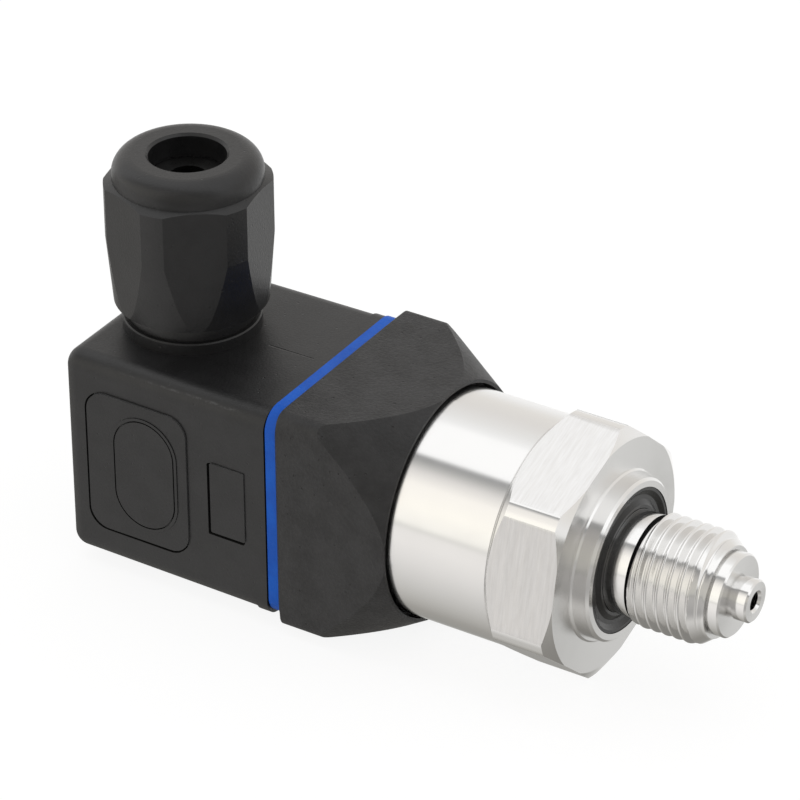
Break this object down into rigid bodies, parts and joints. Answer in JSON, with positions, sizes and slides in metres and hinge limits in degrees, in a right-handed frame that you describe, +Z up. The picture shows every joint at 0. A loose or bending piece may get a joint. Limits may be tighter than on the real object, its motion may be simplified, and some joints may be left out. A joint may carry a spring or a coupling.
{
  "type": "pressure transmitter",
  "caption": "Pressure transmitter: steel hexagon body with a threaded spigot, square adapter turned round at the can, and a right-angle plug with a cable gland.",
  "frame": {"origin": "on the pressure channel's axis, in the plane of the flange face that carries the profile seal", "axes": "+X out of the threaded tip along the process axis, +Z up along the cable gland's axis"},
  "size_m": [0.083, 0.0292, 0.0498],
  "materials": {
    "stainless_steel": "turned and brushed",
    "black_plastic": "fine eroded texture",
    "grey_plastic": "moulded",
    "natural_plastic": "moulded",
    "blue_rubber": "moulded sheet",
    "black_rubber": "moulded",
    "ceramic": "ground",
    "board": "solder mask",
    "brass": "turned",
    "tinned_brass": "tin plated",
    "zinc_steel": "zinc plated"
  },
  "bodies": {
    "sensor": {"process_connection": "stainless_steel", "profile_seal": "black_rubber", "housing_tube": "stainless_steel", "cell_seal": "black_rubber", "sensor_cell": "ceramic", "cell_clamp_ring": "stainless_steel", "board_spacer": "natural_plastic", "amplifier_board": "board", "adapter_housing": "black_plastic", "boss_seal": "black_rubber", "threaded_insert": "brass", "plug_gasket": "blue_rubber", "contact_blade_1": "tinned_brass", "contact_blade_2": "tinned_brass", "contact_blade_3": "tinned_brass", "contact_blade_ground": "tinned_brass"},
    "plug": {"plug_housing": "black_plastic", "terminal_carrier": "grey_plastic", "screw_washer": "black_rubber", "gland_seal": "black_rubber", "receptacle_1": "tinned_brass", "receptacle_2": "tinned_brass", "receptacle_3": "tinned_brass", "receptacle_ground": "tinned_brass", "terminal_screw_1": "zinc_steel", "terminal_screw_2": "zinc_steel", "terminal_screw_3": "zinc_steel", "terminal_screw_ground": "zinc_steel"},
    "retaining_screw": {"retaining_screw": "zinc_steel"},
    "gland_washer": {"gland_washer": "grey_plastic"},
    "gland_nut": {"gland_nut": "black_plastic"}
  },
  "joints": [
    {"name": "plug_slide", "type": "slide", "parent": "sensor", "child": "plug", "axis": [-1, 0, 0], "range_m": [0, 0.03]},
    {"name": "screw_turn", "type": "hinge", "parent": "plug", "child": "retaining_screw", "pos_m": [-0.06, 0, 0], "axis": [-1, 0, 0], "continuous": true},
    {"name": "gland_lift", "type": "slide", "parent": "plug", "child": "gland_washer", "axis": [0, 0, 1], "range_m": [0, 0.006]},
    {"name": "nut_turn", "type": "hinge", "parent": "gland_washer", "child": "gland_nut", "pos_m": [-0.05795, 0, 0.025], "axis": [0, 0, 1], "range_deg": [0, 1440]}
  ],
  "couplings": [
    {"joint": "gland_lift", "follows": "nut_turn", "m_per_rad": 0.0002387}
  ]
}
